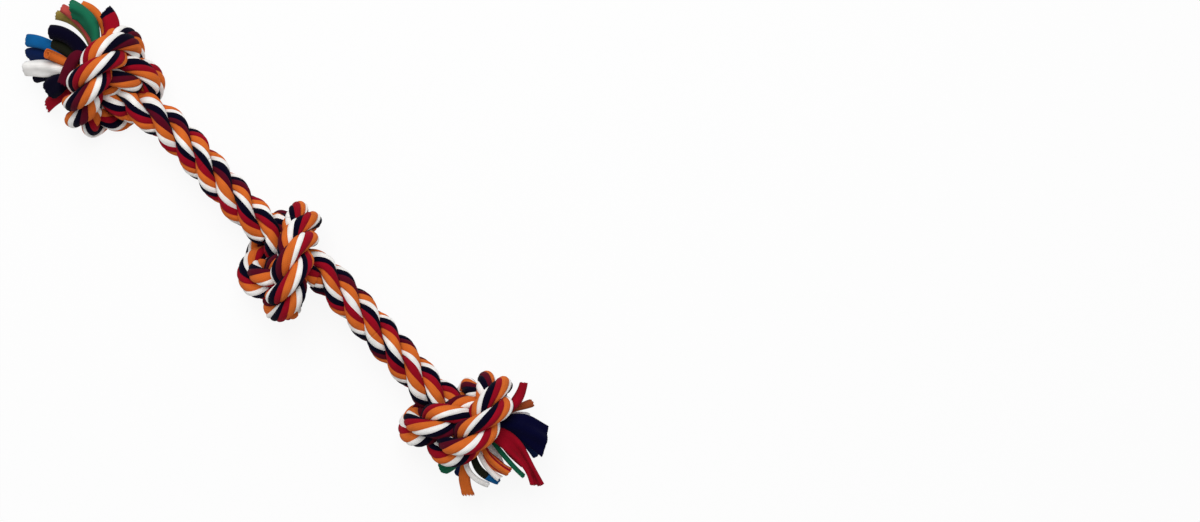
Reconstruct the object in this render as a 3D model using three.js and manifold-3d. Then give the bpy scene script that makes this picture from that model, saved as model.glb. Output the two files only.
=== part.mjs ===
// A rope dog toy: one thick cotton rope of three twisted strands, tied in three overhand knots, with its
// two ends unlaid into tassels of loose jersey strips. Millimetres, +Z up. The toy lies along X on the
// plane Z = 0, on the flats of its three knots, and its bounding box is centred on the origin.
import * as THREE from "three";
import { mergeVertices } from "three/addons/utils/BufferGeometryUtils.js";
import Module from "manifold-3d";

const wasm = await Module();
wasm.setup();

// The rope.
const ropeDiameter = 27; // over the crowns of its strands
const layLength = 65; // along the rope, in which a strand goes once round it
const strandCount = 3;
const strandClearance = 0.5; // between two strands that lie against each other
const endClearance = 0.3; // between two lengths of one strand that meet end to end

// The knots. Their places are counted from the middle one.
const leftKnotDistance = 174;
const rightKnotDistance = 164;
const outerKnotRise = 5; // how far the outer two lie across from the middle one
const knotWidthShare = 0.722; // of the rope's diameter, where a knot squeezes it
const knotSpreadShare = 1.2; // how much wider a knot lies than when it was drawn tight
const knotShortShare = 0.85; // how much shorter it is pushed together along the rope
const leadShare = 1.6; // of the squeezed width, over which the rope turns to where it leaves a knot
const squeezedShare = 1.4; // from a knot's middle to where the squeezed width ends
const fullWidthShare = 2.2; // from a knot's middle to where the rope has its full width again
const floorCut = 2.5; // how much of each knot's underside is pressed flat
const crosswiseShift = -9.3; // puts the middle of its breadth there

// The places between the knots where the rope bends.
const bendZoneLength = 26;
const turnBendDistance = 55; // from the middle knot
const liftBendDistance = 55; // from the outer knot

// The tassels.
const tasselReach = 55; // from the rope's end to the furthest tip
const stripWidth = 8;
const stripRootWidth = 2.4;
const stripThickness = 1.6;
const stripClearance = 0.4; // between a strip's root and the strand that it comes out of
const rootSpread = 7.2; // from the middle of the rope's end to the outermost strip roots
const stripFullWidthShare = 0.8; // of a strip's length, past which it has its full width
const stripTurnedShare = 0.5; // of a strip's length, past which it is fully turned
const stripSpreadShare = 0.3; // of the way to its tip, where the middle of a strip's bend is
const stripBendShare = 0.25; // of a strip's length, by which that middle lies further outwards
const stripCurlShare = 0.12; // of its width, by which its edges turn up

// How fine the surfaces are.
const ringSpacing = 6.5;
const fineSpacing = 1;
const stripSteps = 6;
const overrun = 40; // how far a cutting block reaches past what it cuts

// Half of an overhand knot's centre line, from the middle of the turn that goes round the outside to
// where the rope leaves, in widths of the squeezed rope. The other half is this one turned half round Y.
const halfKnotShares = [
  [0, -1.15, 0],
  [-0.2, -0.9, 0.75],
  [-0.4, 0, 1.2],
  [-0.65, 0.85, 0.85],
  [-0.8, 1.15, 0],
  [-0.65, 0.7, -0.55],
  [-0.3, 0.1, -0.6],
  [0.25, -0.15, -0.5],
  [0.8, -0.15, -0.25],
  [1.4, 0, 0],
  [2.3, 0, 0],
];

// The pull that draws a knot tight. Its lengths are in the same widths.
const pullStepShare = 0.2; // between two points of the line
const touchShare = 1.1; // between two passes that press on each other
const apartShare = 1.5; // along the rope, nearer than which two points don't push each other
const pullRounds = 400;
const pullShare = 0.35; // of the way to the middle of its neighbours that a point moves in a round
const pushShare = 0.12; // of an overlap that each of two points gives way in a round
const roundsPerSpacing = 10;

// The knots from left to right: where each lies, how far it is turned about the rope and about the
// upright in degrees, how far its two tails reach from its middle, and how far across from its middle
// they leave it. The shares are of the squeezed width.
const knots = [
  {
    along: -leftKnotDistance,
    across: outerKnotRise,
    rollDegrees: 340,
    yawDegrees: -9,
    reachShares: [1.3, 1.6],
    exitShares: [-0.1, 0.42],
  },
  {
    along: 0,
    across: 0,
    rollDegrees: 210,
    yawDegrees: 10,
    reachShares: [1.6, 1.6],
    exitShares: [0.52, 0.41],
  },
  {
    along: rightKnotDistance,
    across: outerKnotRise,
    rollDegrees: 148,
    yawDegrees: 0,
    reachShares: [1.6, 1.3],
    exitShares: [-0.05, 0],
  },
];

// How the left span swings out of the straight line between its knots: the share of the way to the
// middle knot, and how far across it lies there as a share of the rope's diameter.
const leftSwingShares = [
  [0.13, 0.16],
  [0.33, 0.165],
  [0.52, 0.08],
  [0.72, 0],
  [0.89, -0.055],
];

// A strand's section, as points round it at a share of the rope's diameter from the rope's axis and at
// an angle in degrees from the strand's own middle. The two null angles are its flanks, which lie along
// the flanks of the neighbouring strands.
const sectionShares = [
  [0.05, 0],
  [0.26, null],
  [0.43, 44],
  [0.495, 22],
  [0.5, 0],
  [0.495, -22],
  [0.43, -44],
  [0.26, null],
];

const jersey = {
  orange: 0xd5681a,
  crimson: 0xa80f22,
  maroon: 0x6a0a22,
  navy: 0x0a0a35,
  white: 0xf5f3f0,
  green: 0x1f7a56,
  blue: 0x0e5fa0,
  olive: 0x2a2e1e,
  tan: 0xb08a50,
  coral: 0xc9504a,
};
const jerseyRoughness = 0.95;

// The strips of each tassel: name, colour, where its root is across and up the rope's end as shares of
// rootSpread, how far its tip is outwards, across and up from that end as shares of tasselReach, its
// width as a share of stripWidth, and how far it is turned about its own length in degrees.
const leftStrips = [
  ["crimson_fold", "crimson", [0.9, 0.8], [0.32, 0.65, 0.09], 1.2, 32],
  ["green_wide", "green", [0.42, 0.8], [0.67, 0.37, 0.05], 1.2, 32],
  ["navy_roll", "navy", [-0.05, 0.8], [0.67, 0.01, 0.05], 1.3, 32],
  ["orange_roll", "orange", [-0.5, 0.8], [0.52, -0.26, 0.08], 0.9, 30],
  ["maroon_flap", "maroon", [-0.2, 1.2], [0.09, -0.4, 0.22], 1.2, 30],
  ["orange_strip", "orange", [0.95, 0.05], [0.62, 0.5, -0.2], 1, 32],
  ["coral_strip", "coral", [0.57, 0.05], [0.82, 0.28, -0.25], 0.8, 32],
  ["olive_roll", "olive", [0.18, 0.05], [0.56, -0.02, -0.12], 1, 32],
  ["blue_strip", "blue", [-0.2, 0.05], [0.85, -0.32, -0.32], 0.8, 32],
  ["white_wide", "white", [-0.6, 0.05], [0.62, -0.58, -0.25], 1.3, 32],
  ["crimson_ragged", "crimson", [-0.78, -0.7], [0.13, -0.77, -0.44], 1.1, 30],
  ["tan_strip", "tan", [0.35, -0.7], [0.85, 0.14, -0.48], 0.8, 30],
  ["white_strip", "white", [0.75, -0.7], [0.65, 0.31, -0.42], 1, 30],
  ["blue_dark_strip", "blue", [-0.05, -0.7], [0.72, -0.42, -0.45], 0.8, 30],
  ["navy_thin", "navy", [-0.42, -0.7], [0.51, -0.57, -0.34], 0.6, 30],
  ["navy_wide", "navy", [-0.98, 0.05], [0.2, -0.6, -0.2], 1.4, 30],
];
const rightStrips = [
  ["crimson_stub", "crimson", [0.9, 0.8], [0.07, 0.8, 0.09], 0.8, -32],
  ["navy_flared", "navy", [0.42, 0.8], [0.7, 0.47, 0.05], 1.7, -32],
  ["crimson_wide", "crimson", [-0.08, 0.8], [1, -0.02, 0.06], 1.5, -32],
  ["orange_red_edge", "orange", [-0.52, 0.8], [0.62, -0.17, 0.05], 0.8, -32],
  ["white_short", "white", [-0.9, 0.8], [0.6, -0.37, 0.05], 0.8, -30],
  ["orange_brown", "orange", [0.95, 0.05], [0.24, 0.71, -0.18], 0.6, -32],
  ["grey_white", "white", [0.57, 0.05], [0.36, 0.5, -0.27], 0.8, -32],
  ["green_thin", "green", [0.18, 0.05], [0.79, -0.08, -0.2], 0.6, -32],
  ["white_long", "white", [-0.6, 0.05], [0.54, -0.53, -0.25], 0.7, -32],
  ["teal_black", "olive", [-0.2, 0.05], [0.6, -0.33, -0.27], 0.7, -32],
  ["orange_ragged", "orange", [-0.98, 0.05], [0.44, -0.74, -0.22], 1, -30],
  ["navy_small", "navy", [0.75, -0.7], [0.74, 0.22, -0.4], 0.8, -30],
  ["crimson_under", "crimson", [0.35, -0.7], [0.7, 0.03, -0.45], 0.9, -30],
  ["white_under", "white", [-0.05, -0.7], [0.5, -0.2, -0.45], 0.9, -30],
  ["blue_small", "blue", [-0.42, -0.7], [0.24, -0.52, -0.28], 0.6, -30],
  ["green_left", "green", [-0.78, -0.7], [0, -0.76, -0.52], 1, -30],
];

const squeezedWidth = ropeDiameter * knotWidthShare;
const knotPlaces = knots.map((knot) => knot.along);
const alongX = new THREE.Vector3(1, 0, 0);
const upZ = new THREE.Vector3(0, 0, 1);

function smooth(share) {
  const t = THREE.MathUtils.clamp(share, 0, 1);
  return t * t * (3 - 2 * t);
}

// The points again, evenly spaced along the line through them.
function spaced(points, step) {
  const along = [0];
  for (let i = 1; i < points.length; i += 1) {
    along.push(along[i - 1] + points[i].distanceTo(points[i - 1]));
  }
  const total = along[points.length - 1];
  const count = Math.round(total / step);
  const made = [];
  let k = 1;
  for (let i = 0; i <= count; i += 1) {
    const at = (total * i) / count;
    while (k < points.length - 1 && along[k] < at) k += 1;
    const share = (at - along[k - 1]) / (along[k] - along[k - 1]);
    made.push(points[k - 1].clone().lerp(points[k], share));
  }
  return made;
}

// Draws a loose knot tight: every point is pulled towards the middle of its neighbours, and two passes
// that come nearer than they can lie push each other away.
function drawnTight(route) {
  let points = spaced(route, pullStepShare);
  const apart = Math.round(apartShare / pullStepShare);
  for (let round = 1; round <= pullRounds; round += 1) {
    const last = points.length - 1;
    const pulled = points.map((p, i) => {
      if (i === 0 || i === last) return p.clone();
      const middle = points[i - 1].clone().add(points[i + 1]).divideScalar(2);
      return p.clone().lerp(middle, pullShare);
    });
    const pushes = pulled.map(() => new THREE.Vector3());
    for (let i = 0; i <= last; i += 1) {
      for (let j = i + apart; j <= last; j += 1) {
        const away = pulled[i].clone().sub(pulled[j]);
        const overlap = touchShare - away.length();
        if (overlap > 0) {
          away.setLength(overlap * pushShare);
          pushes[i].add(away);
          pushes[j].sub(away);
        }
      }
    }
    points = pulled.map((p, i) => (i === 0 || i === last ? p : p.add(pushes[i])));
    if (round % roundsPerSpacing === 0) points = spaced(points, pullStepShare);
  }
  return points;
}

// One tight overhand knot about the origin, along X, in real size.
function knotLine() {
  const half = halfKnotShares.map((p) => new THREE.Vector3(...p));
  const other = half.slice(1).map((p) => new THREE.Vector3(-p.x, p.y, -p.z));
  const curve = new THREE.CatmullRomCurve3([...other.reverse(), ...half], false, "centripetal");
  return drawnTight(curve.getPoints(300)).map((p) => p.multiplyScalar(squeezedWidth));
}

// The tight knot laid in its place: pushed together, turned, led to where its tails leave it, and set
// down so that its underside is pressed flat by floorCut.
function placedKnot(tight, knot) {
  const [leftReach, rightReach] = knot.reachShares.map((share) => share * squeezedWidth);
  const [leftExit, rightExit] = knot.exitShares.map((share) => share * squeezedWidth);
  const inside = tight.filter((p) => p.x > -leftReach && p.x < rightReach);
  const leadCount = leadShare / pullStepShare;
  const placed = inside.map((p, i) => {
    const point = p.clone().applyAxisAngle(alongX, THREE.MathUtils.degToRad(knot.rollDegrees));
    point.multiply(new THREE.Vector3(knotShortShare, knotSpreadShare, 1));
    point.applyAxisAngle(upZ, THREE.MathUtils.degToRad(knot.yawDegrees));
    point.y += leftExit * smooth(1 - i / leadCount);
    point.y += rightExit * smooth(1 - (inside.length - 1 - i) / leadCount);
    return point;
  });
  const lowest = Math.min(...placed.map((p) => p.z)) - squeezedWidth / 2;
  const shift = new THREE.Vector3(
    knot.along,
    crosswiseShift + knot.across,
    -lowest - floorCut,
  );
  return placed.map((p) => p.add(shift));
}

// The whole rope's centre line, from the left tassel to the right one.
function ropeLine() {
  const tight = knotLine();
  const [left, middle, right] = knots.map((knot) => placedKnot(tight, knot));
  const tail = left[left.length - 1];
  const span = leftSwingShares.map(([share, swing]) =>
    tail.clone().lerp(middle[0], share).add(new THREE.Vector3(0, swing * ropeDiameter, 0)),
  );
  const points = [...left, ...span, ...middle, ...right];
  return spaced(new THREE.CatmullRomCurve3(points, false, "centripetal").getPoints(1500), fineSpacing);
}

// The line with a frame at every point that turns as little as it can from one to the next.
function framed(points) {
  const frames = [];
  let across = new THREE.Vector3(0, 1, 0);
  points.forEach((at, i) => {
    const before = points[Math.max(i - 1, 0)];
    const after = points[Math.min(i + 1, points.length - 1)];
    const along = after.clone().sub(before).normalize();
    across = across.clone().addScaledVector(along, -across.dot(along)).normalize();
    frames.push({ at, along, across, up: along.clone().cross(across) });
  });
  return frames;
}

const line = ropeLine();
const frames = framed(line);
const step = line[1].distanceTo(line[0]);
const ropeLength = step * (line.length - 1);

// The frame at a length along the rope, and the rope's width there.
function frameAt(length) {
  const place = THREE.MathUtils.clamp(length / step, 0, line.length - 1);
  const k = Math.min(Math.floor(place), line.length - 2);
  const between = (name) => frames[k][name].clone().lerp(frames[k + 1][name], place - k);
  const at = between("at");
  const nearest = Math.min(...knotPlaces.map((x) => Math.abs(at.x - x)));
  const shareOut = (nearest / squeezedWidth - squeezedShare) / (fullWidthShare - squeezedShare);
  const width = ropeDiameter * THREE.MathUtils.lerp(knotWidthShare, 1, smooth(shareOut));
  return { at, across: between("across").normalize(), up: between("up").normalize(), width };
}

// The length along the rope at which it passes a place between two knots.
function lengthAt(x) {
  const k = line.findIndex((p) => p.x >= x);
  return (k - (line[k].x - x) / (line[k].x - line[k - 1].x)) * step;
}

function closedMesh(rings, diagonal) {
  const around = rings[0].length;
  const positions = rings.flat().flatMap((p) => p.toArray());
  const index = [];
  for (let r = 0; r < rings.length - 1; r += 1) {
    for (let k = 0; k < around; k += 1) {
      const a = r * around + k;
      const b = r * around + ((k + 1) % around);
      const c = a + around;
      const d = b + around;
      if (diagonal(k)) index.push(a, d, b, a, c, d);
      else index.push(a, c, b, b, c, d);
    }
  }
  const last = (rings.length - 1) * around;
  for (let k = 1; k < around - 1; k += 1) {
    index.push(0, k, k + 1);
    index.push(last, last + k + 1, last + k);
  }
  const geometry = new THREE.BufferGeometry();
  geometry.setAttribute("position", new THREE.Float32BufferAttribute(positions, 3));
  geometry.setIndex(index);
  return geometry;
}

// One strand between two lengths along the rope. Both flanks of a strand are split along the same
// diagonals as the flanks that they lie against, so that the clearance is even.
function strandGeometry(strand, from, to) {
  const start = from + endClearance / 2;
  const end = to - endClearance / 2;
  const count = Math.ceil((end - start) / ringSpacing);
  const rings = [];
  for (let r = 0; r <= count; r += 1) {
    const length = start + ((end - start) * r) / count;
    const { at, across, up, width } = frameAt(length);
    const turn = 2 * Math.PI * (length / layLength + strand / strandCount);
    rings.push(
      sectionShares.map(([share, degrees], k) => {
        const radius = share * width;
        const flank = Math.PI / strandCount - Math.asin(strandClearance / 2 / radius);
        const side = k < sectionShares.length / 2 ? 1 : -1;
        const angle = turn + (degrees === null ? side * flank : (degrees * Math.PI) / 180);
        return at
          .clone()
          .addScaledVector(across, radius * Math.cos(angle))
          .addScaledVector(up, radius * Math.sin(angle));
      }),
    );
  }
  return closedMesh(rings, (k) => k < sectionShares.length / 2);
}

function toSolid(geometry) {
  const bare = geometry.clone();
  bare.deleteAttribute("normal");
  bare.deleteAttribute("uv");
  const merged = mergeVertices(bare);
  const mesh = new wasm.Mesh({
    numProp: 3,
    vertProperties: new Float32Array(merged.attributes.position.array),
    triVerts: new Uint32Array(merged.index.array),
  });
  return new wasm.Manifold(mesh);
}

// The geometry without what reaches below the floor.
function pressedFlat(geometry) {
  const block = new THREE.BoxGeometry(ropeLength, ropeLength, overrun);
  block.translate(0, 0, -overrun / 2);
  const cut = toSolid(geometry).subtract(toSolid(block)).getMesh();
  const made = new THREE.BufferGeometry();
  made.setAttribute("position", new THREE.BufferAttribute(cut.vertProperties, 3));
  made.setIndex(new THREE.BufferAttribute(cut.triVerts, 1));
  return made;
}

// The frame of a cut end of the rope: its middle, and the directions outwards, across and up.
function endFrame(at, inside) {
  const outwards = at.clone().sub(inside).normalize();
  const across = new THREE.Vector3(0, 1, 0).projectOnPlane(outwards).normalize();
  const up = upZ.clone().projectOnPlane(outwards).projectOnPlane(across).normalize();
  return { at, outwards, across, up };
}

// A strip of jersey from its root on the rope's end to its tip, as a shallow gutter.
function stripGeometry(end, root, tip, widthShare, turnDegrees) {
  const from = end.at
    .clone()
    .addScaledVector(end.outwards, stripClearance)
    .addScaledVector(end.across, root[0] * rootSpread)
    .addScaledVector(end.up, root[1] * rootSpread);
  const [out, side, rise] = tip.map((share) => share * tasselReach);
  const to = end.at.clone().add(new THREE.Vector3(Math.sign(end.outwards.x) * out, side, rise));
  const bend = from
    .clone()
    .lerp(to, stripSpreadShare)
    .addScaledVector(end.outwards, stripBendShare * from.distanceTo(to));
  const curve = new THREE.QuadraticBezierCurve3(from, bend, to);
  const rings = [];
  for (let r = 0; r <= stripSteps; r += 1) {
    const share = r / stripSteps;
    const at = curve.getPoint(share);
    const along = r === 0 ? end.outwards : curve.getTangent(share);
    const flat = along.clone().cross(end.up).normalize();
    const turn = (turnDegrees * Math.PI * smooth(share / stripTurnedShare)) / 180;
    const side = flat.applyAxisAngle(along, turn);
    const face = side.clone().cross(along);
    const width = THREE.MathUtils.lerp(
      stripRootWidth,
      stripWidth * widthShare,
      smooth(share / stripFullWidthShare),
    );
    const point = (s, f) => {
      const lift = (f * stripThickness) / 2 - Math.abs(s) * stripCurlShare * (width - stripRootWidth);
      return at
        .clone()
        .addScaledVector(side, (s * width) / 2)
        .addScaledVector(face, lift);
    };
    rings.push([point(-1, -1), point(0, -1), point(1, -1), point(1, 1), point(0, 1), point(-1, 1)]);
  }
  return closedMesh(rings, () => true);
}

const toy = new THREE.Group();

function add(name, geometry, colour) {
  const material = new THREE.MeshStandardMaterial({
    color: colour,
    roughness: jerseyRoughness,
    metalness: 0,
  });
  const mesh = new THREE.Mesh(geometry, material);
  mesh.name = name;
  toy.add(mesh);
}

const strandColours = [jersey.orange, jersey.crimson, jersey.navy];

// The lengths along the rope at which its strands are parted, from the left end to the right.
const [leftPlace, middlePlace, rightPlace] = knotPlaces;
const bends = [
  leftPlace + liftBendDistance,
  middlePlace - turnBendDistance,
  middlePlace + turnBendDistance,
  rightPlace - liftBendDistance,
];
const partings = bends.flatMap((x) => [
  lengthAt(x - bendZoneLength / 2),
  lengthAt(x + bendZoneLength / 2),
]);
const stretches = [
  "left_knot",
  "left_lift_bend",
  "left_span",
  "left_turn_bend",
  "middle_knot",
  "right_turn_bend",
  "right_span",
  "right_lift_bend",
  "right_knot",
];
stretches.forEach((stretch, i) => {
  const from = i === 0 ? -endClearance / 2 : partings[i - 1];
  const to = i === partings.length ? ropeLength + endClearance / 2 : partings[i];
  for (let strand = 0; strand < strandCount; strand += 1) {
    const plain = strandGeometry(strand, from, to);
    const geometry = stretch.endsWith("knot") ? pressedFlat(plain) : plain;
    add(`${stretch}_strand_${strand + 1}`, geometry, strandColours[strand]);
  }
});

function addTassel(side, strips, end) {
  for (const [name, colour, root, tip, widthShare, turn] of strips) {
    add(`${side}_tassel_${name}`, stripGeometry(end, root, tip, widthShare, turn), jersey[colour]);
  }
}
const last = line.length - 1;
addTassel("left", leftStrips, endFrame(line[0], line[1]));
addTassel("right", rightStrips, endFrame(line[last], line[last - 1]));

export default toy;
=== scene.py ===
# %% [markdown]
# # A rope toy for a dog
#
# The real toy is about a metre of thick cotton rope. The rope is laid from three strands, and each
# strand is a bundle of jersey strips, cut from cloth and twisted the other way. Three overhand knots are
# pulled tight in it, and at both ends the strips come loose as a tassel.
#
# The CAD frame holds the same toy as plain solids. It gives the places, the sizes and the joints, and
# this file puts the cloth over it: strands with every strip as a ridge of its own, and tassels of thin,
# curled sheets. All lengths are in metres, and +Z is up.

import bpy
import numpy as np
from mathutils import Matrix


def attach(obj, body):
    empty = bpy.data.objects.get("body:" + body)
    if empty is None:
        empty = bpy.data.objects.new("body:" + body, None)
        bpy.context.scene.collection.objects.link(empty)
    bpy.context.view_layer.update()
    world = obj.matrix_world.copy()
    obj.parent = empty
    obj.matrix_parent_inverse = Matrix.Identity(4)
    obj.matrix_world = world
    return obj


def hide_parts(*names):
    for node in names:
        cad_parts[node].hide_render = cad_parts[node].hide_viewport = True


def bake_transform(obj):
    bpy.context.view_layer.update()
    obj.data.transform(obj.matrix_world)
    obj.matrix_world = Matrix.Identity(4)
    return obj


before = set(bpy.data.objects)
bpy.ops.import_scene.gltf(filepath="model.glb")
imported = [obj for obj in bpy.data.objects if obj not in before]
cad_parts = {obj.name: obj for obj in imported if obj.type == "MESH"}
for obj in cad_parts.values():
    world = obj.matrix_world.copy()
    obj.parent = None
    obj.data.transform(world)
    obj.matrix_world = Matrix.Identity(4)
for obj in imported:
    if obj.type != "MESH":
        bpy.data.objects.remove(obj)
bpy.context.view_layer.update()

# %% [markdown]
# ## The camera
#
# The photograph looks straight down. A long lens far away shows the toy without perspective, as the
# photograph does, and turning the camera about the upright lays the toy on the picture's diagonal.
# The toy is on the left, because the photograph repeats it on the right.

# %% A long lens straight above
photo_width = 1200  # pixels
pixel = 0.000704  # of the toy, seen in one pixel
photo_turn = np.radians(43.3)
photo_middle = (0.1617, 0.1424)  # the place on the floor under the middle of the picture
rope_height = 0.03  # at which a pixel has its size
lens = 100  # this and the sensor in millimetres, as Blender counts them
sensor = 36
sight = 20  # how far the camera sees

camera = bpy.data.objects.new("camera", bpy.data.cameras.new("camera"))
camera.data.lens = lens
camera.data.sensor_width = sensor
camera.data.clip_end = sight
camera_height = photo_width * pixel * lens / sensor + rope_height
camera.location = (*photo_middle, camera_height)
camera.rotation_euler = (0, 0, photo_turn)
bpy.context.scene.collection.objects.link(camera)
bpy.context.scene.camera = camera
bpy.context.scene.view_settings.view_transform = "Standard"
print("camera", round(camera_height, 3), "m above the floor")

# %% [markdown]
# ## The rope's centre line
#
# A tight overhand knot can't be drawn well by eye. Here half of a loose one is given by a few points,
# because the other half is the same turned round. Then it is pulled: every point moves towards the
# middle of its neighbours, and passes that come too near push each other away. What is left is what a
# dog would pull it to. The three knots are laid in their places and one smooth curve joins them.

# %% Sizes of the rope and its knots
rope_diameter = 0.027  # over the crowns of its strands
lay_length = 0.065  # along the rope, in which a strand goes once round it
strand_count = 3
knot_width_share = 0.722  # of the rope's diameter, to which a knot squeezes it
squeezed_width = rope_diameter * knot_width_share
knot_spread_share = 1.2  # how much wider a knot lies than it is drawn
knot_short_share = 0.85  # and how much shorter along the rope
lead_share = 1.6  # squeezed widths of rope, in which a tail is led to its exit
floor_cut = 0.0025  # how much of a knot's lowest pass is pressed flat on the floor
crosswise_shift = -0.0093  # of the whole toy, to the middle of the CAD frame
fine_spacing = 0.001  # of the points on the rope's line
knot_curve_points = 300
rope_curve_points = 1500
print("a knot squeezes the rope to", round(squeezed_width * 1000, 1), "mm")

# %% Where the knots lie
# Half of a loose overhand knot in squeezed widths, from its middle to its end. X runs along the rope.
half_knot = np.array([
    (0, -1.15, 0),
    (-0.2, -0.9, 0.75),
    (-0.4, 0, 1.2),
    (-0.65, 0.85, 0.85),
    (-0.8, 1.15, 0),
    (-0.65, 0.7, -0.55),
    (-0.3, 0.1, -0.6),
    (0.25, -0.15, -0.5),
    (0.8, -0.15, -0.25),
    (1.4, 0, 0),
    (2.3, 0, 0),
])

# Along and across from the middle knot, roll and yaw in degrees, and how far the tails reach and where
# they leave, in squeezed widths.
knots = [
    (-0.174, 0.005, 340, -9, (1.3, 1.6), (-0.1, 0.42)),
    (0, 0, 210, 10, (1.6, 1.6), (0.52, 0.41)),
    (0.164, 0.005, 148, 0, (1.6, 1.3), (-0.05, 0)),
]

# How the left span swings out of the straight line between its knots: the share of the way to the
# middle knot, and how far across it lies there as a share of the rope's diameter.
left_swing = np.array([(0.13, 0.16), (0.33, 0.165), (0.52, 0.08), (0.72, 0), (0.89, -0.055)])
print("the outer knots are", round((knots[-1][0] - knots[0][0]) * 1000), "mm apart")

# %% Curves through points
def smooth(share):
    """0 below 0, 1 above 1, and 3 t squared minus 2 t cubed between."""
    t = np.clip(share, 0, 1)
    return t * t * (3 - 2 * t)


def through(points, count):
    """Count + 1 points on the centripetal Catmull-Rom curve through the points: on each stretch a cubic
    whose end slopes are set by the square roots of the three distances round it."""
    before, after = 2 * points[0] - points[1], 2 * points[-1] - points[-2]
    p = np.vstack([before, points, after])
    place = np.linspace(0, len(points) - 1, count + 1)
    k = np.minimum(place.astype(int), len(points) - 2)
    t = (place - k)[:, None]
    p0, p1, p2, p3 = p[k], p[k + 1], p[k + 2], p[k + 3]
    d0, d1, d2 = (
        np.sqrt(np.linalg.norm(b - a, axis=1))[:, None] for a, b in ((p0, p1), (p1, p2), (p2, p3))
    )
    leave = ((p1 - p0) / d0 - (p2 - p0) / (d0 + d1) + (p2 - p1) / d1) * d1
    reach = ((p2 - p1) / d1 - (p3 - p1) / (d1 + d2) + (p3 - p2) / d2) * d1
    bend = 3 * (p2 - p1) - 2 * leave - reach
    twist = 2 * (p1 - p2) + leave + reach
    return p1 + leave * t + bend * t**2 + twist * t**3


def lengths_along(points):
    """The length of the line up to each of its points."""
    steps = np.linalg.norm(np.diff(points, axis=0), axis=1)
    return np.concatenate([[0], np.cumsum(steps)])


def at_lengths(known, values, wanted):
    """Values, one row for each known length, read off straight between them at the wanted lengths."""
    return np.stack([np.interp(wanted, known, column) for column in values.T], axis=1)


def spaced(points, step):
    """The same line with its points evenly spaced, about a step apart."""
    along = lengths_along(points)
    count = int(round(along[-1] / step))
    return at_lengths(along, points, np.linspace(0, along[-1], count + 1))


print("half a knot starts as", round(lengths_along(half_knot)[-1], 1), "squeezed widths of rope")

# %% Drawing a knot tight
pull_step = 0.2  # between the points, and like the next two in squeezed widths
touch_distance = 1.1  # below which two passes of the rope push each other away
apart_along = 1.5  # along the rope, from which two points are on different passes
pull_rounds = 400
pull_share = 0.35  # of the way to the middle of its neighbours, in one round
push_share = 0.12  # of the overlap of two passes, in one round
rounds_per_spacing = 10  # until the points are spaced evenly again
tiny = 1e-9  # keeps a division by a distance safe


def drawn_tight(route):
    """In every round each inner point moves a share of the way to the middle of its neighbours, and two
    points that are far apart along the line but nearer than the touch distance push each other away."""
    points = spaced(route, pull_step)
    apart = round(apart_along / pull_step)
    for turn in range(1, pull_rounds + 1):
        middles = (points[:-2] + points[2:]) / 2
        points[1:-1] += pull_share * (middles - points[1:-1])
        away = points[:, None] - points[None]
        distance = np.linalg.norm(away, axis=2)
        order = np.arange(len(points))
        passes = np.abs(order[:, None] - order[None]) >= apart
        overlap = np.where(passes, np.maximum(touch_distance - distance, 0), 0)
        share = push_share * overlap / np.maximum(distance, tiny)
        points[1:-1] += (away * share[..., None]).sum(axis=1)[1:-1]
        if turn % rounds_per_spacing == 0:
            points = spaced(points, pull_step)
    return points


other_half = half_knot[:0:-1] * (-1, 1, -1)
loose_knot = through(np.vstack([other_half, half_knot]), knot_curve_points)
tight_knot = drawn_tight(loose_knot) * squeezed_width
print("a tight knot takes", round(lengths_along(tight_knot)[-1] * 1000), "mm of rope")

# %% The whole line
def placed_knot(along, across, roll, yaw, reaches, exits):
    """The tight knot cut to its tails, turned about the rope, pushed together along it and spread across
    it, turned about the upright, led to its exits, and set on the floor, pressed flat by floor_cut."""
    left_reach, right_reach = np.array(reaches) * squeezed_width
    inside = (tight_knot[:, 0] > -left_reach) & (tight_knot[:, 0] < right_reach)
    x, y, z = tight_knot[inside].T
    c, s = np.cos(np.radians(roll)), np.sin(np.radians(roll))
    y, z = y * c - z * s, y * s + z * c
    x, y = x * knot_short_share, y * knot_spread_share
    c, s = np.cos(np.radians(yaw)), np.sin(np.radians(yaw))
    x, y = x * c - y * s, x * s + y * c
    order = np.arange(len(x))
    lead_count = lead_share / pull_step
    y = y + exits[0] * squeezed_width * smooth(1 - order / lead_count)
    y = y + exits[1] * squeezed_width * smooth(1 - order[::-1] / lead_count)
    lowest = z.min() - squeezed_width / 2
    return np.stack([x + along, y + crosswise_shift + across, z - lowest - floor_cut], axis=1)


left, middle, right = (placed_knot(*knot) for knot in knots)
share, swing = left_swing[:, :1], left_swing[:, 1:]
left_span = left[-1] + share * (middle[0] - left[-1]) + swing * rope_diameter * np.array([0, 1, 0])
whole_route = np.vstack([left, left_span, middle, right])
rope_line = spaced(through(whole_route, rope_curve_points), fine_spacing)
rope_lengths = lengths_along(rope_line)
rope_length = rope_lengths[-1]
print("the rope is", round(rope_length * 1000), "mm long between its tassels")

# %% Two directions that travel along the line
def travelling_directions(line):
    """At every point two directions across the line. The first of them is the one before it with its
    part along the line taken off, so that the pair turns no more than it must, and the second is square
    to it. Each one needs the one before, so this is the one place that walks along the line."""
    padded = np.vstack([line[0], line, line[-1]])
    along = padded[2:] - padded[:-2]
    along /= np.linalg.norm(along, axis=1)[:, None]
    across = np.empty_like(line)
    carried = np.array([0.0, 1.0, 0.0])
    for i, direction in enumerate(along):
        carried = carried - direction * carried.dot(direction)
        carried /= np.linalg.norm(carried)
        across[i] = carried
    return across, np.cross(along, across)


def rope_at(lengths):
    """The rope's line and the two directions across it, at the lengths."""
    return [at_lengths(rope_lengths, values, lengths) for values in (rope_line, rope_across, rope_up)]


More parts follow.
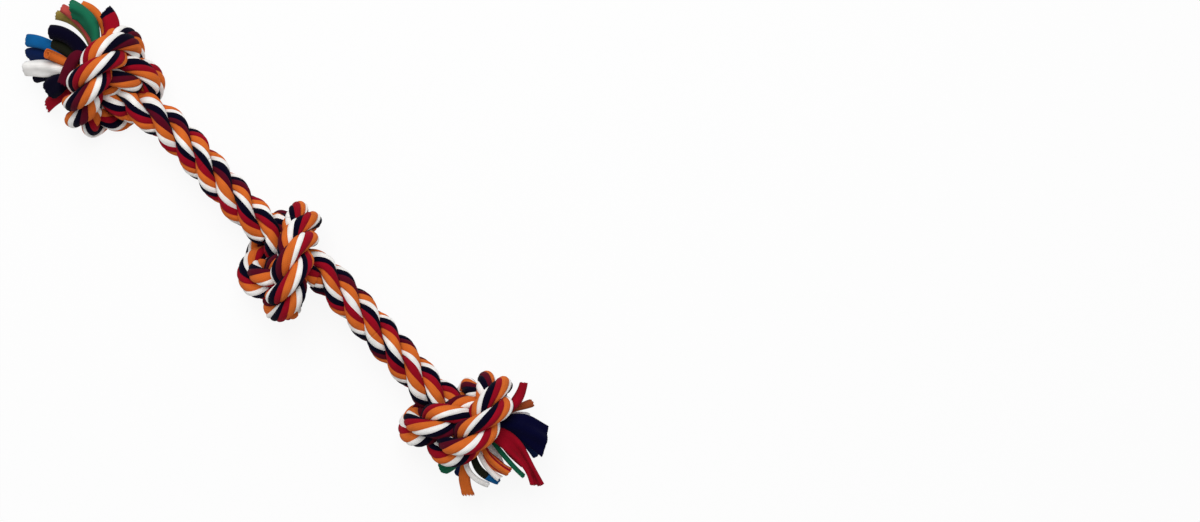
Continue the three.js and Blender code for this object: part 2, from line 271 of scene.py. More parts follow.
rope_across, rope_up = travelling_directions(rope_line)
print("two directions across the rope at", len(rope_line), "points of it")

# %% [markdown]
# ## Strands made of strips
#
# A strand is not a smooth sausage. It is seven or eight flat strips rolled together, and from outside
# each one is a ridge about 5 mm wide. The rope turns to the right, and the strips turn about twice as
# fast to the left in their strand, so that the coloured ridges run almost straight along the rope. They
# turn a little more in the spans than in the knots, where the rope is squeezed and its ridges lie askew.
#
# In a tight knot the passes of the rope lie nearer together than the rope is thick, because the cloth is
# squeezed. The CAD solids are thinner there. These strands keep their full width, as they do where they
# bulge out of a knot, so they run into each other between its passes, where only the crease is seen.
#
# Each strand is one grid: its rows are sections of the strand, and its columns follow the strips. The
# columns do the twisting, so a strip's colour is simply the material of its columns, and its ridge is a
# function of the place between its two borders.

# %% The strips in a strand
strand_strips = [
    ["navy", "crimson", "orange", "white", "navy", "maroon", "orange", "white"],
    ["navy", "maroon", "orange", "white", "crimson", "orange", "white"],
    ["navy", "crimson", "orange", "white", "navy", "crimson", "orange", "white"],
]
strip_shares = {"navy": 1.0, "crimson": 1.1, "maroon": 1.0, "orange": 1.18, "white": 0.86}
columns_per_strip = 7
ring_spacing = 0.0012  # of the sections along a strand
print("strips in the strands:", [len(names) for names in strand_strips])

# %% How the rope swells and the strips turn
swollen_share = 1.04  # of the full width, at which the strands are drawn in the knots
knot_hold_share = 1.4  # squeezed widths from its middle, up to which a knot holds the rope
free_rope_share = 2.2  # and from which the rope is free of it
strip_turns = 2.05  # to the left in one lay, seen from the strand
span_extra_turns = 0.13  # in one lay, where the rope is straight


def out_of_knots(x):
    """0 in the knots and 1 in the spans, by the distance along X to the nearest knot."""
    nearest = np.min(np.abs(x[:, None] - np.array([knot[0] for knot in knots])), axis=1)
    return smooth((nearest / squeezed_width - knot_hold_share) / (free_rope_share - knot_hold_share))


def rope_width(x):
    """The rope's width, which is swollen in the knots."""
    return rope_diameter * (swollen_share + (1 - swollen_share) * out_of_knots(x))


def turns_of_strips(lengths):
    """The turns of the strips up to the lengths: even ones, and extra ones in the spans. The extra ones
    are taken back evenly between the middles of the knots, so that each knot keeps its colours."""
    extra = np.cumsum(out_of_knots(rope_line[:, 0])) * span_extra_turns * fine_spacing / lay_length
    middles = [rope_lengths[np.abs(rope_line[:, 0] - knot[0]) < squeezed_width].mean() for knot in knots]
    taken_back = np.interp(rope_lengths, middles, np.interp(middles, rope_lengths, extra))
    return strip_turns * lengths / lay_length + np.interp(lengths, rope_lengths, extra - taken_back)


print("a strip turns", round(turns_of_strips(rope_lengths)[-1], 1), "times in its strand")

# %% The path of a strand
strand_centre_share = 0.262  # of the rope's width, from its axis to a strand's


def strand_turn(strand, lengths):
    """The angle about the rope at which a strand lies, in radians."""
    return 2 * np.pi * (lengths / lay_length + strand / strand_count)


def strand_path(strand, lengths):
    """The strand's own centre line: a helix about the rope's line."""
    at, across, up = rope_at(lengths)
    turn = strand_turn(strand, lengths)[:, None]
    radius = strand_centre_share * rope_width(at[:, 0])[:, None]
    return at + radius * (across * np.cos(turn) + up * np.sin(turn))


print("strand 1 is", round(lengths_along(strand_path(0, rope_lengths))[-1] * 1000), "mm long")

# %% The surface of a strand
strand_depth_share = 0.236  # half of a strand's size outwards, of the rope's width
strand_breadth_share = 0.252  # and sideways
strand_gap = 0.0001  # left between two strands
ridge_depth_share = 0.13  # how much lower a strip is at its borders than in its middle
ridge_power = 3  # the higher, the flatter is a strip in its middle
border_wander = 0.009  # by which a border strays, as a share of the way round
wander_length = 0.021  # of rope, for one radian of the straying
wander_phases = (2.4, 1.7)  # from border to border and from strand to strand
swell_share = 0.03  # by which a strip grows thicker and thinner
swell_length = 0.013
swell_phase = 2.1  # from strip to strip
end_roundness = 0.006  # of rope, in which a strand closes at its end
first_ring = 0.02  # where in that length the last section lies, as a share
floor_softness = 0.0012


def pressed_on_floor(points):
    """The height z becomes half of z plus the root of z squared plus softness squared, so that nothing
    is below the floor and what is well above it stays."""
    z = points[..., 2]
    points[..., 2] = (z + np.sqrt(z**2 + floor_softness**2)) / 2
    return points


def places_round_strand(strand, lengths):
    """For each section and column the place round the strand, as a share of the way, and the ridge. The
    place goes evenly from border to border, and the borders stray by a sine. The ridge is 1 in the
    middle of a strip and falls with a power of the distance from it, times a slow swelling."""
    names = strand_strips[strand]
    shares = np.array([strip_shares[name] for name in names])
    borders = np.concatenate([[0], np.cumsum(shares)]) / shares.sum()
    inner = (np.arange(columns_per_strip) / columns_per_strip)[None]
    border_phase, strand_phase = wander_phases
    phase = border_phase * np.arange(len(names) + 1)[None] + strand_phase * strand
    wander = border_wander * np.sin(lengths[:, None] / wander_length + phase)
    wander[:, -1] = wander[:, 0]
    edges = borders[None] + wander
    place = edges[:, :-1, None] + (edges[:, 1:] - edges[:, :-1])[..., None] * inner[None]
    across_strip = np.tile(2 * inner[0] - 1, len(names))[None]
    phase = swell_phase * np.repeat(np.arange(len(names)), columns_per_strip)
    swell = 1 + swell_share * np.sin(lengths[:, None] / swell_length + phase)
    ridge = (1 - ridge_depth_share * np.abs(across_strip) ** ridge_power) * swell
    return place.reshape(len(lengths), -1), ridge


def strand_surface(strand, lengths):
    """Rows of points round a strand. In a section, seen from the rope's axis, a point lies at
    centre + ridge * (depth * cos(angle), breadth * sin(angle)), where the angle is the column's place
    round the strand less the turns of its strips. At the ends of the rope the section shrinks along a
    quarter circle. What would reach past the flat between two strands is pushed back onto it."""
    place, ridge = places_round_strand(strand, lengths)
    angle = 2 * np.pi * (place - turns_of_strips(lengths)[:, None])
    at, across, up = rope_at(lengths)
    width = rope_width(at[:, 0])[:, None]
    to_end = np.minimum(lengths, rope_length - lengths)[:, None] / end_roundness
    closing = np.sqrt(1 - (1 - np.clip(to_end, first_ring, 1)) ** 2)
    outwards = width * (strand_centre_share + strand_depth_share * ridge * np.cos(angle) * closing)
    sideways = width * strand_breadth_share * ridge * np.sin(angle) * closing

    c, s = np.cos(np.pi / strand_count), np.sin(np.pi / strand_count)
    room = outwards * s - np.abs(sideways) * c
    push = np.maximum(strand_gap / 2 - room, 0)
    outwards = outwards + push * s
    sideways = sideways - np.sign(sideways) * push * c

    turn = strand_turn(strand, lengths)[:, None]
    ray = across * np.cos(turn) + up * np.sin(turn)
    flank = up * np.cos(turn) - across * np.sin(turn)
    points = at[:, None] + outwards[..., None] * ray[:, None] + sideways[..., None] * flank[:, None]
    return pressed_on_floor(points)


# %% [markdown]
# ## From a grid to a mesh
#
# Every piece here is a grid of points. One helper turns a grid into a mesh with whole arrays: it joins
# the columns into a tube if asked, closes both ends with a point in their middle, and writes a UV map
# in metres along and across the cloth, so that the knitting has nearly one size on every piece.

# %% The squares and the closed ends
def squares_of(rows, columns, tube):
    """The rows, the columns and the four corners of the squares between neighbouring rows and columns.
    With tube the last column joins the first."""
    r = np.arange(rows - 1)[:, None]
    c = np.arange(columns if tube else columns - 1)[None]
    following = (c + 1) % columns
    this_row, next_row = r * columns, (r + 1) * columns
    corners = [this_row + c, this_row + following, next_row + following, next_row + c]
    return r, c, np.stack(np.broadcast_arrays(*corners), axis=-1).reshape(-1, 4)


def end_fans(rows, columns):
    """The triangles between each end ring of a tube and the point in its middle, which come last."""
    c = np.arange(columns)
    following = (c + 1) % columns
    start_middle, end_middle = rows * columns, rows * columns + 1
    last_row = (rows - 1) * columns
    start = np.stack([np.full(columns, start_middle), following, c], axis=1)
    end = np.stack([np.full(columns, end_middle), last_row + c, last_row + following], axis=1)
    return np.vstack([start, end])


tube_squares, tube_fans = squares_of(3, 4, True)[2], end_fans(3, 4)
print("a tube of 3 rings of 4 points has", len(tube_squares), "squares and", len(tube_fans), "triangles")

# %% One helper for all surfaces
def surface(name, grid, tube, widths, lengths, slots, materials):
    """A piece from rows of points. The UV map holds the place across and the place along the cloth, and
    the slots are the materials of the columns, the same in all rows of a tube."""
    rows, columns = grid.shape[:2]
    vertices = grid.reshape(-1, 3)
    r, c, squares = squares_of(rows, columns, tube)
    u = np.stack(np.broadcast_arrays(widths[c], widths[c + 1], widths[c + 1], widths[c]), axis=-1)
    v = np.stack([lengths[r], lengths[r], lengths[r + 1], lengths[r + 1]], axis=-1)
    uv = np.stack(np.broadcast_arrays(u, v), axis=-1).reshape(-1, 2)
    slot = np.broadcast_to(slots[..., c[0]], (rows - 1, c.shape[1])).ravel()
    loops = squares.ravel()
    starts = np.arange(len(squares)) * squares.shape[1]
    if tube:
        fans = end_fans(rows, columns)
        vertices = np.vstack([vertices, grid[0].mean(axis=0), grid[-1].mean(axis=0)])
        fan_uv = np.stack([widths[c[0]], np.full(columns, lengths[0])], axis=1).repeat(3, axis=0)
        starts = np.concatenate([starts, len(loops) + np.arange(len(fans)) * fans.shape[1]])
        loops = np.concatenate([loops, fans.ravel()])
        uv = np.vstack([uv, fan_uv, fan_uv])
        slot = np.concatenate([slot, slots, slots])
    mesh = bpy.data.meshes.new(name)
    mesh.vertices.add(len(vertices))
    mesh.vertices.foreach_set("co", vertices.astype(np.float32).ravel())
    mesh.loops.add(len(loops))
    mesh.loops.foreach_set("vertex_index", loops.astype(np.int32))
    mesh.polygons.add(len(starts))
    mesh.polygons.foreach_set("loop_start", starts.astype(np.int32))
    for material in materials:
        mesh.materials.append(material)
    mesh.polygons.foreach_set("material_index", slot.astype(np.int32))
    mesh.uv_layers.new(name="cloth").data.foreach_set("uv", uv.astype(np.float32).ravel())
    mesh.update(calc_edges=True)
    mesh.shade_smooth()
    piece = bpy.data.objects.new(name, mesh)
    bpy.context.scene.collection.objects.link(piece)
    return piece


# %% [markdown]
# ## Cotton jersey
#
# The strips are cut from T-shirt cloth, which is knitted: small V shaped stitches in columns, matt, with
# a faint fuzz that catches light at grazing angles. A picture of the cloth could be wrapped round the
# strips, but here the stitches are worked out from the UV map, so that they have their real size and
# follow each strip round every bend.

# %% Colours and nodes
jersey_colours = {
    "orange": "d86b2a",
    "rust": "a8502a",
    "crimson": "960a20",
    "maroon": "56081e",
    "navy": "05031a",
    "ink": "030328",
    "white": "faf8f5",
    "grey": "cfcfd2",
    "green": "1b6c4e",
    "blue": "0e5c98",
    "deep_blue": "0b1f4c",
    "olive": "1e2016",
    "tan": "94803f",
    "coral": "c04e48",
}


def linear(colour):
    """The sRGB hex colour as the linear one that the shader needs: the sRGB curve undone."""
    parts = np.array([int(colour[i : i + 2], 16) / 255 for i in (0, 2, 4)])
    bright = ((parts + 0.055) / 1.055) ** 2.4
    return (*np.where(parts <= 0.04045, parts / 12.92, bright), 1)


def add_node(tree, kind, inputs=(), **settings):
    """A node of that kind with its settings, and its inputs linked to sockets or set to values."""
    node = tree.nodes.new("ShaderNode" + kind)
    for name, value in settings.items():
        setattr(node, name, value)
    for place, value in dict(inputs).items():
        if isinstance(value, bpy.types.NodeSocket):
            tree.links.new(value, node.inputs[place])
        else:
            node.inputs[place].default_value = value
    return node


def maths(tree, operation, first, second=0.0):
    """The result of one sum on two values."""
    return add_node(tree, "Math", {0: first, 1: second}, operation=operation).outputs[0]


print("orange in linear light is", [round(float(part), 3) for part in linear(jersey_colours["orange"])])

# %% Knitted cotton
wale = 0.0011  # from one column of stitches to the next
course = 0.0009  # from one stitch to the next in a column
fuzz_per_metre = 1800.0  # loose fibres, drawn coarser than real, as half a millimetre, so that they show
fuzz_detail = 3.0
patches_per_metre = 90.0  # dye that took unevenly, in patches of about a centimetre
patch_detail = 2.0
patch_shade = 0.5  # how much lighter and darker the patches are
stitch_painted_shade = 0.09  # painted shade: how much darker the cloth is drawn in the hollows between its stitches
stitch_height = 0.6  # beside the fuzz, in the bump
bump_height = 0.0002  # how far a stitch stands out
bump_strength = 0.7
cotton_roughness = 0.9  # no highlight, because the fibres scatter the light
cotton_sheen = 0.02  # the faint glow of the fuzz at grazing angles
cotton_specular = 0.06  # fibres lie open, so that little is reflected off the surface


def jersey(name, colour):
    """Knitted cotton, which looks matt and soft. The stitches are V shapes in columns: the sine of
    2 pi (y / course + the distance from the middle of the column), less a groove between the columns
    that is the cube of twice that distance. They give the bump and a slightly darker colour between
    them, which is painted shade in their hollows, and the colour varies slowly along the cloth."""
    material = bpy.data.materials.new(f"{name}_cotton_jersey")
    material.use_nodes = True
    tree = material.node_tree
    shader = tree.nodes["Principled BSDF"]
    cloth = add_node(tree, "UVMap", uv_map="cloth").outputs["UV"]
    place = add_node(tree, "SeparateXYZ", {0: cloth})
    column = maths(tree, "FRACT", maths(tree, "DIVIDE", place.outputs["X"], wale))
    slope = maths(tree, "ABSOLUTE", maths(tree, "SUBTRACT", column, 0.5))
    stitch = maths(tree, "ADD", maths(tree, "DIVIDE", place.outputs["Y"], course), slope)
    wave = maths(tree, "SINE", maths(tree, "MULTIPLY", stitch, 2 * np.pi))
    groove = maths(tree, "POWER", maths(tree, "MULTIPLY", slope, 2.0), 3.0)
    knit = maths(tree, "SUBTRACT", maths(tree, "MULTIPLY", wave, 0.5), groove)
    where = add_node(tree, "TexCoord").outputs["Object"]
    fuzz = add_node(tree, "TexNoise", {"Vector": where, "Scale": fuzz_per_metre, "Detail": fuzz_detail})
    patch_inputs = {"Vector": where, "Scale": patches_per_metre, "Detail": patch_detail}
    patches = add_node(tree, "TexNoise", patch_inputs).outputs["Fac"]
    shade = maths(tree, "MULTIPLY", maths(tree, "SUBTRACT", patches, 0.5), patch_shade)
    # painted shade: the cloth is drawn darker where the knit is low, in the hollows between the stitches
    shade = maths(tree, "ADD", shade, maths(tree, "MULTIPLY", knit, stitch_painted_shade))
    shade = maths(tree, "ADD", shade, 1.0)
    hue = add_node(tree, "HueSaturation", {"Color": linear(colour), "Value": shade})
    height = maths(tree, "ADD", maths(tree, "MULTIPLY", knit, stitch_height), fuzz.outputs["Fac"])
    bump = add_node(tree, "Bump", {"Height": height, "Distance": bump_height, "Strength": bump_strength})
    tree.links.new(hue.outputs["Color"], shader.inputs["Base Color"])
    tree.links.new(bump.outputs["Normal"], shader.inputs["Normal"])
    shader.inputs["Roughness"].default_value = cotton_roughness
    shader.inputs["Sheen Weight"].default_value = cotton_sheen
    shader.inputs["Specular IOR Level"].default_value = cotton_specular
    return material


jerseys = {name: jersey(name, colour) for name, colour in jersey_colours.items()}
print(len(jerseys), "colours of jersey")

# %% [markdown]
# ## Laying the strands
#
# On the real toy each strand runs unbroken from tassel to tassel. A piece here can bend at one joint
# only, so each strand is made in four lengths, one for each joint. They meet in the middle of the two
# straight spans and inside the middle knot, ring on ring, so that no seam shows.

# %% Where the strands are parted
span_places = (-0.087, 0.0821)  # along X, in the middles of the spans
knot_places = (-0.03, 0.045)  # on both sides of the middle knot


def length_at(x):
    """The length along the rope where it first passes x."""
    k = int(np.argmax(rope_line[:, 0] >= x))
    share = (rope_line[k, 0] - x) / (rope_line[k, 0] - rope_line[k - 1, 0])
    return rope_lengths[k] - share * (rope_lengths[k] - rope_lengths[k - 1])


knot_start, knot_end = (length_at(x) for x in knot_places)
nearest_point = rope_lengths[np.argmin(np.abs(rope_lengths - knot_end))]
inside_knot = (knot_start + nearest_point) / 2
cuts = [0, length_at(span_places[0]), inside_knot, length_at(span_places[1]), rope_length]
print("the strands are parted at", [round(x * 1000) for x in cuts], "mm")

# %% Four lengths of each strand
strand_girth = 0.036  # of cloth round a strand, which is stretched a little

# For each length, the two bodies that it joins, the place of their joint, and the stretches of the CAD
# model's rope that it stands for.
parts = {
    "left_end": (
        ("left_knot", "left_span"),
        (-0.119, 0.0029, 0.0292),
        ["left_knot", "left_lift_bend"],
    ),
    "middle_left": (
        ("left_span", "middle_knot"),
        (-0.055, -0.0017, 0.0289),
        ["left_turn_bend", "left_span"],
    ),
    "middle_right": (
        ("middle_knot", "right_span"),
        (0.055, 0.0011, 0.0343),
        ["right_turn_bend", "middle_knot"],
    ),
    "right_end": (
        ("right_span", "right_knot"),
        (0.109, -0.0032, 0.0311),
        ["right_lift_bend", "right_knot", "right_span"],
    ),
}

strands = []
for (part, (bodies, joint, stretches)), start, end in zip(parts.items(), cuts[:-1], cuts[1:]):
    rings = np.linspace(start, end, int((end - start) / ring_spacing) + 1)
    for strand in range(strand_count):
        names = strand_strips[strand]
        palette = sorted(set(names))
        slots = np.repeat([palette.index(name) for name in names], columns_per_strip)
        piece = surface(
            f"{part}_strand_{strand + 1}",
            strand_surface(strand, rings),
            True,
            np.linspace(0, strand_girth, len(slots) + 1),
            rings,
            slots,
            [jerseys[name] for name in palette],
        )
        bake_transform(piece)
        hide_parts(*(f"{stretch}_strand_{strand + 1}" for stretch in stretches))
        strands.append(piece)
print(len(strands), "lengths of strand")

# %% [markdown]
# ## The tassels
#
# Past the outer knots the strips come out of their strands. Jersey rolls up when it is cut, so a strip
# leaves the rope as a narrow roll. Some stay rolled to their end, and others open to a curled band. Each
# one is a single sheet, made as a line from its root to its tip with a curled section carried along it.
# A section whose bend grows from one edge to the other is a spiral that never touches itself, so the
# same formula gives a roll and a nearly flat band.

# %% The strips of both tassels
# Name, colour, the root across and up as shares of the spread, the middle of its bend and its tip, both
# outwards, across and up as shares of the reach. Then the width of the cloth in metres, its turn in
# degrees, how far half of it curls at the tip and how deep its pleat is in radians, and how ragged its
# end is in metres.
left_strips = [
    ("crimson_fold", "crimson", (0.9, 0.8), (0.05, 0.64, 0.12), (0.33, 0.64, 0.09),
     0.023, 14, 2.4, -0.3, 0.0004),
    ("green_wide", "green", (0.42, 0.8), (0.3, 0.55, 0.08), (0.68, 0.37, 0.05),
     0.022, 10, 2.0, 0.4, 0.0007),
    ("navy_roll", "navy", (-0.05, 0.8), (0.4, 0.2, 0.14), (0.64, -0.01, 0.06),
     0.040, 10, 4.0, 0.1, 0.0003),
    ("orange_roll", "orange", (-0.5, 0.8), (0.38, -0.2, -0.02), (0.5, -0.25, 0.12),
     0.027, 12, 5.4, 0, 0.0002),
    ("maroon_flap", "maroon", (0.1, 1.2), (0.36, 0.2, 0.26), (0.07, -0.4, 0.2),
     0.013, 5, 1.5, -0.2, 0.0007),
    ("orange_strip", "orange", (0.95, 0.05), (0.25, 0.68, -0.05), (0.64, 0.48, -0.18),
     0.017, 15, 3.0, 0.2, 0.0004),
    ("coral_strip", "coral", (0.57, 0.05), (0.41, 0.42, -0.1), (0.82, 0.28, -0.25),
     0.012, 15, 2.2, -0.3, 0.0004),
    ("olive_roll", "olive", (0.18, 0.05), (0.36, -0.05, 0.0), (0.54, -0.1, -0.08),
     0.034, 12, 4.3, 0, 0.0003),
    ("blue_strip", "blue", (-0.2, 0.05), (0.62, -0.12, -0.08), (0.85, -0.32, -0.27),
     0.017, 15, 2.3, -0.3, 0.0004),
    ("white_wide", "white", (-0.6, 0.05), (0.36, -0.34, -0.02), (0.62, -0.59, -0.22),
     0.021, 12, 2.1, 0.3, 0.0004),
    ("crimson_ragged", "crimson", (-0.78, -0.7), (0.1, -0.5, -0.2), (0.13, -0.77, -0.42),
     0.013, 8, 1.1, 0.2, 0.0013),
    ("tan_strip", "tan", (0.35, -0.7), (0.47, 0.4, -0.25), (0.85, 0.16, -0.46),
     0.013, 12, 2.7, 0.2, 0.0006),
    ("white_strip", "grey", (0.75, -0.7), (0.36, 0.42, -0.16), (0.66, 0.27, -0.38),
     0.017, 12, 2.8, 0.4, 0.0004),
    ("blue_dark_strip", "deep_blue", (-0.05, -0.7), (0.57, -0.28, -0.22), (0.72, -0.45, -0.42),
     0.026, 12, 2.1, 0.3, 0.0005),
    ("navy_thin", "navy", (-0.42, -0.7), (0.33, -0.45, -0.2), (0.46, -0.62, -0.4),
     0.014, 15, 3.1, 0, 0.0003),
    ("navy_wide", "navy", (-0.98, 0.05), (0.18, -0.38, 0.02), (0.2, -0.6, -0.16),
     0.018, 4, 1.0, -0.2, 0.0007),
]
right_strips = [
    ("crimson_stub", "crimson", (0.9, 0.8), (0.18, 0.48, 0.14), (-0.02, 0.8, 0.09),
     0.018, -14, 2.8, 0.2, 0.0003),
    ("navy_flared", "ink", (0.42, 0.8), (0.2, 0.42, 0.14), (0.7, 0.45, 0.05),
     0.022, -8, 0.8, 0.4, 0.0002),
    ("crimson_wide", "crimson", (-0.08, 0.8), (0.37, 0.26, 0.14), (0.98, -0.03, 0.05),
     0.027, -6, 1.5, -1.5, 0.0005),
    ("orange_red_edge", "orange", (-0.52, 0.8), (0.3, -0.25, 0.08), (0.62, -0.15, 0.04),
     0.019, -10, 2.4, 0.5, 0.0005),
    ("white_short", "white", (-0.9, 0.8), (0.33, -0.36, 0.0), (0.6, -0.3, 0.0),
     0.012, -12, 2.9, 0.2, 0.0005),
    ("orange_brown", "rust", (0.95, 0.05), (0.12, 0.48, -0.02), (0.24, 0.68, -0.18),
     0.014, -15, 3.0, 0.2, 0.0007),
    ("grey_white", "grey", (0.57, 0.05), (0.15, 0.38, -0.04), (0.31, 0.52, -0.25),
     0.014, -15, 2.8, 0.2, 0.0007),
    ("green_thin", "green", (0.18, 0.05), (0.49, -0.08, 0.0), (0.79, -0.08, -0.14),
     0.01, -12, 3.6, 0, 0.0003),
    ("white_long", "white", (-0.6, 0.05), (0.1, -0.66, 0.05), (0.53, -0.48, -0.14),
     0.012, -12, 3.4, 0.1, 0.0005),
    ("teal_black", "olive", (-0.2, 0.05), (0.14, -0.53, 0.02), (0.6, -0.36, -0.2),
     0.016, -12, 2.9, 0.2, 0.0005),
    ("orange_ragged", "orange", (-0.98, 0.05), (0.2, -0.62, -0.04), (0.45, -0.74, -0.22),
     0.011, -10, 1.2, -0.2, 0.0013),
    ("navy_small", "deep_blue", (0.75, -0.7), (0.45, 0.29, -0.2), (0.74, 0.21, -0.38),
     0.013, -10, 3.0, 0.1, 0.0003),
    ("crimson_under", "crimson", (0.35, -0.7), (0.35, 0.06, -0.2), (0.7, 0.03, -0.45),
     0.016, -12, 2.3, 0.2, 0.0004),
    ("white_under", "white", (-0.05, -0.7), (0.3, -0.1, -0.25), (0.5, -0.2, -0.45),
     0.016, -12, 2.3, 0.2, 0.0004),
    ("blue_small", "deep_blue", (-0.42, -0.7), (0.12, -0.4, -0.15), (0.18, -0.63, -0.36),
     0.014, -12, 2.4, 0.1, 0.0002),
    ("green_left", "green", (-0.78, -0.7), (0.08, -0.45, -0.3), (-0.01, -0.76, -0.5),
     0.013, -8, 1.2, 0.2, 0.0003),
]

# Other colours that a strip takes on from a share of its length on, and along lines in it.
band_colours = {
    "crimson_fold": [(0.86, "navy")],
    "teal_black": [(0, "rust"), (0.4, "olive"), (0.8, "blue")],
}
line_colours = {"orange_red_edge": "crimson"}

# How much further than its middle the one edge of a strip reaches, in metres.
slants = {"navy_flared": 0.0045, "crimson_wide": -0.0025, "green_wide": 0.002, "white_wide": -0.002}
print(len(left_strips), "strips on the left and", len(right_strips), "on the right")

# %% The line of a strip
tassel_reach = 0.055  # the bends and tips are shares of this
root_spread = 0.0072  # and the roots of this
root_depth = 0.004  # how far inside the strands a strip begins
cloth_rows = 56


def unit(vector):
    """The direction of a vector, with length 1."""
    return vector / np.linalg.norm(vector, axis=-1, keepdims=True)


def end_frame(at, inside):
    """The middle of a cut end of the rope, and the directions outwards, across and up from it."""
    outwards = unit(at - inside)
    across = unit(np.array([0, 1, 0]) - outwards * outwards[1])
    up = np.array([0, 0, 1]) - outwards * outwards[2]
    return at, outwards, across, unit(up - across * up.dot(across))


def strip_line(end, root, bend, tip):
    """The line of a strip, a parabola from its root past its bend to its tip, with the directions along
    it and the shares of the way."""
    at, outwards, across, up = end
    start = at - outwards * root_depth + across * root[0] * root_spread + up * root[1] * root_spread
    forwards = np.array([np.sign(outwards[0]), 1, 1]) * tassel_reach
    t = np.linspace(0, 1, cloth_rows)[:, None]
    middle, finish = at + np.array(bend) * forwards, at + np.array(tip) * forwards
    line = start * (1 - t) ** 2 + middle * 2 * t * (1 - t) + finish * t**2
    return line, unit(np.gradient(line, axis=0)), t


left_end, right_end = end_frame(rope_line[0], rope_line[1]), end_frame(rope_line[-1], rope_line[-2])
print("the ends of the rope are", [round(end[0][2] * 1000) for end in (left_end, right_end)], "mm high")

# %% A curled section
cloth_columns = 41
lopsided = 0.5  # how much more a strip bends at its one edge than in its middle
root_curl = 4.2  # radians, by which half of a strip is rolled at its root


def curled_section(width, curl, pleat):
    """The section of a sheet, one row for each value of curl. Over the half widths t its direction is
    curl * (t + lopsided * t * t / 2) + pleat * sin(2 * pi * t), and the sums of that direction's cosine
    and sine along the cloth give its places sideways and up, counted from their middle."""
    t = np.linspace(-1, 1, cloth_columns)[None]
    direction = curl * (t + lopsided * t**2 / 2) + pleat * np.sin(2 * np.pi * t)
    step = width / (cloth_columns - 1)
    sideways = np.cumsum(np.cos(direction), axis=1) * step
    upwards = np.cumsum(np.sin(direction), axis=1) * step
    middle = (sideways.max(axis=1) + sideways.min(axis=1)) / 2
    level = (upwards.max(axis=1) + upwards.min(axis=1)) / 2
    return sideways - middle[:, None], upwards - level[:, None]


name, _, _, _, _, cut_width, *_ = left_strips[0]
rolled_width = np.ptp(curled_section(cut_width, np.array([[root_curl]]), 0)[0])
print(name, round(cut_width * 1000), "mm wide is rolled to", round(rolled_width * 1000, 1), "mm at its root")

# %% A curled sheet along a line
settled_share = 0.5  # of the length, in which a strip has turned and taken its pleat
opening_speed = 1.4  # the higher, the sooner a strip opens from its root's curl to its tip's
turn_wobble = (0.3, 3)  # radians of straying towards the tip, and radians of its sine along the strip
curl_wobble = (0.25, 8)
pleat_wobble = (0.3, 7)
cut_share = 0.2  # of the length, in which the cut end is drawn
cut_waves = [(1.5, 1.7, 1), (0.5, 17, 1), (0.5, 43, 0)]  # height, radians from edge to middle, own phase


def wobble(kind, t, phase, share=1):
    """A share of a height times a sine that goes on along the strip."""
    height, waves = kind
    return height * share * np.sin(waves * t + phase)


def strip_surface(end, root, bend, tip, width, turn, tip_curl, pleat, ragged, slant, phase):
    """Rows of points across a strip, and its length. The section is carried along the line and turned
    about it by a growing angle. The end is cut unevenly: each column stops a little sooner or later, by
    its slant and a sum of sines."""
    line, along, t = strip_line(end, root, bend, tip)
    flat = unit(np.cross(along, end[-1]))
    settled = smooth(t / settled_share)
    twist = np.radians(turn) * settled + wobble(turn_wobble, t, phase, t)
    face = np.cross(flat, along)
    sideways = flat * np.cos(twist) - face * np.sin(twist)
    face = np.cross(sideways, along)
    opened = smooth(opening_speed * t)
    curl = root_curl + (tip_curl - root_curl) * opened + wobble(curl_wobble, t, 2 * phase, t)
    over, above = curled_section(width, curl, pleat * settled * (1 + wobble(pleat_wobble, t, phase)))
    place = np.linspace(-1, 1, cloth_columns)[None]
    cut_line = sum(height * np.sin(waves * place + own * phase) for height, waves, own in cut_waves)
    stretch = (ragged * cut_line + slant * place) * smooth((t - (1 - cut_share)) / cut_share)
    points = line[:, None] + over[..., None] * sideways[:, None] - above[..., None] * face[:, None]
    return pressed_on_floor(points + stretch[..., None] * along[:, None]), lengths_along(line)[-1]


# %% Both tassels
cloth_thickness = 0.0008
coloured_lines = 3  # in a strip with lines of another colour
line_threshold = 0.7  # of a sine across the strip, from which it takes the colour of its lines
row_share = (np.arange(cloth_rows - 1) / (cloth_rows - 1))[:, None]
column_share = np.linspace(0, 1, cloth_columns)[None]
tassels = []
for side, strips, end in (("left", left_strips, left_end), ("right", right_strips, right_end)):
    for number, (name, colour, root, bend, tip, width, *shape) in enumerate(strips):
        points, length = strip_surface(end, root, bend, tip, width, *shape, slants.get(name, 0), number)
        materials, slots = [jerseys[colour]], np.zeros((cloth_rows - 1, cloth_columns), int)
        for share, other in band_colours.get(name, ()):
            materials.append(jerseys[other])
            slots = slots + (row_share > share)
        if name in line_colours:
            materials.append(jerseys[line_colours[name]])
            slots = slots + (np.sin(2 * np.pi * coloured_lines * column_share) > line_threshold)
        piece = surface(
            f"{side}_{name}",
            points,
            False,
            np.linspace(0, width, cloth_columns),
            np.linspace(0, length, cloth_rows),
            slots,
            materials,
        )
        solid = piece.modifiers.new("cloth", "SOLIDIFY")
        solid.thickness = cloth_thickness
        solid.offset = 0
        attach(piece, f"{side}_knot")
        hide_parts(f"{side}_tassel_{name}")
        tassels.append(piece)
print(len(tassels), "strips in the tassels")

# %% [markdown]
# ## Floor and light
#
# The photograph is a studio cut-out on white. A pale floor under a white sky of plain strength shows
# the colours as they are, with one large soft lamp to give the ridges their shape.

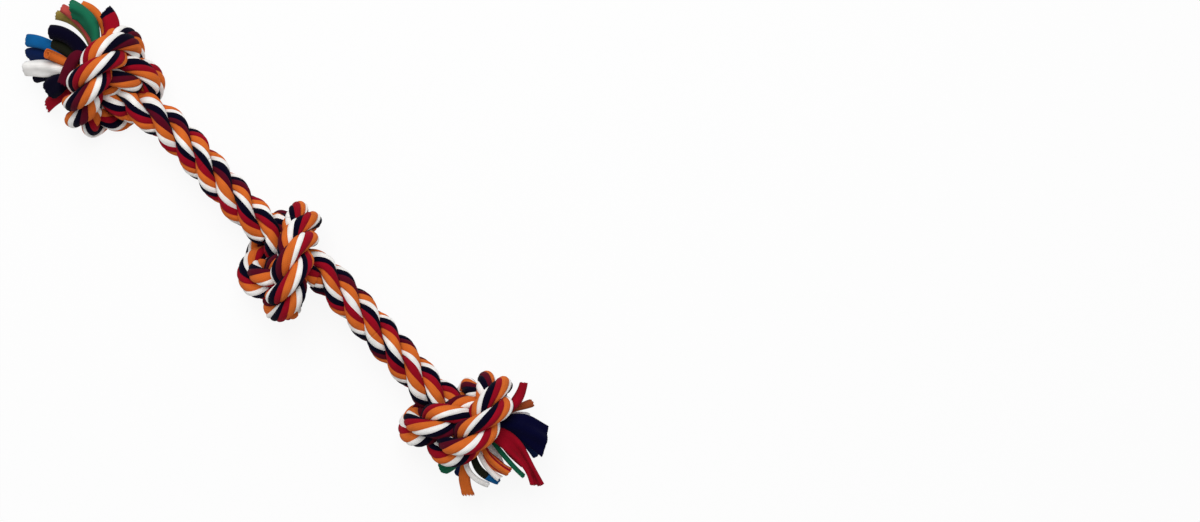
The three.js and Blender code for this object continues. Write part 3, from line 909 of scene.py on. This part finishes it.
# %% A pale floor
half = 3.0  # of the floor's side
backdrop_share = 0.9  # how much of the paper's white is its own, so that its shadows stay faint
paper_white = "f6f6f6"
paper_roughness = 0.9  # uncoated paper is matt
floor_mesh = bpy.data.meshes.new("floor")
floor_mesh.from_pydata(
    [(-half, -half, 0), (half, -half, 0), (half, half, 0), (-half, half, 0)], [], [(0, 1, 2, 3)]
)
floor = bpy.data.objects.new("floor", floor_mesh)
bpy.context.scene.collection.objects.link(floor)

# White studio paper, which shows no grain from afar and only a faint soft shadow.
paper = bpy.data.materials.new("white_paper")
paper.use_nodes = True
paper_shader = paper.node_tree.nodes["Principled BSDF"]
paper_shader.inputs["Base Color"].default_value = linear(paper_white)
paper_shader.inputs["Roughness"].default_value = paper_roughness
seen = add_node(paper.node_tree, "LightPath").outputs
direct = maths(paper.node_tree, "MAXIMUM", seen["Is Camera Ray"], seen["Is Glossy Ray"])
direct = maths(paper.node_tree, "MAXIMUM", direct, seen["Is Transmission Ray"])
glow = add_node(paper.node_tree, "Emission", {"Color": (1, 1, 1, 1), "Strength": 1.0}).outputs[0]
mix = add_node(
    paper.node_tree,
    "MixShader",
    {0: maths(paper.node_tree, "MULTIPLY", direct, backdrop_share), 1: paper_shader.outputs[0], 2: glow},
)
paper.node_tree.links.new(mix.outputs[0], paper.node_tree.nodes["Material Output"].inputs["Surface"])
floor_mesh.materials.append(paper)
print("a floor", 2 * half, "m wide")

# %% Soft light
sky_strength = 0.33
key_place = (-0.6, 0.6, 1.9)  # high up, over the upper edge of the picture
key_size = 1.4
key_power = 33  # watts
world = bpy.data.worlds.new("studio")
world.use_nodes = True
world.node_tree.nodes["Background"].inputs["Color"].default_value = (1, 1, 1, 1)
world.node_tree.nodes["Background"].inputs["Strength"].default_value = sky_strength
bpy.context.scene.world = world


def lamp(name, place, aim, size, power):
    """A square soft lamp at a place, turned so that it shines at the aim."""
    light = bpy.data.lights.new(name, "AREA")
    light.size = size
    light.energy = power
    holder = bpy.data.objects.new(name, light)
    holder.location = place
    direction = np.array(aim) - np.array(place)
    flat = np.hypot(direction[0], direction[1])
    holder.rotation_euler = (
        np.arctan2(flat, -direction[2]),
        0,
        np.arctan2(direction[1], direction[0]) - np.pi / 2,
    )
    bpy.context.scene.collection.objects.link(holder)


lamp("key", key_place, (0, 0, 0), key_size, key_power)
print("one lamp of", key_power, "W")
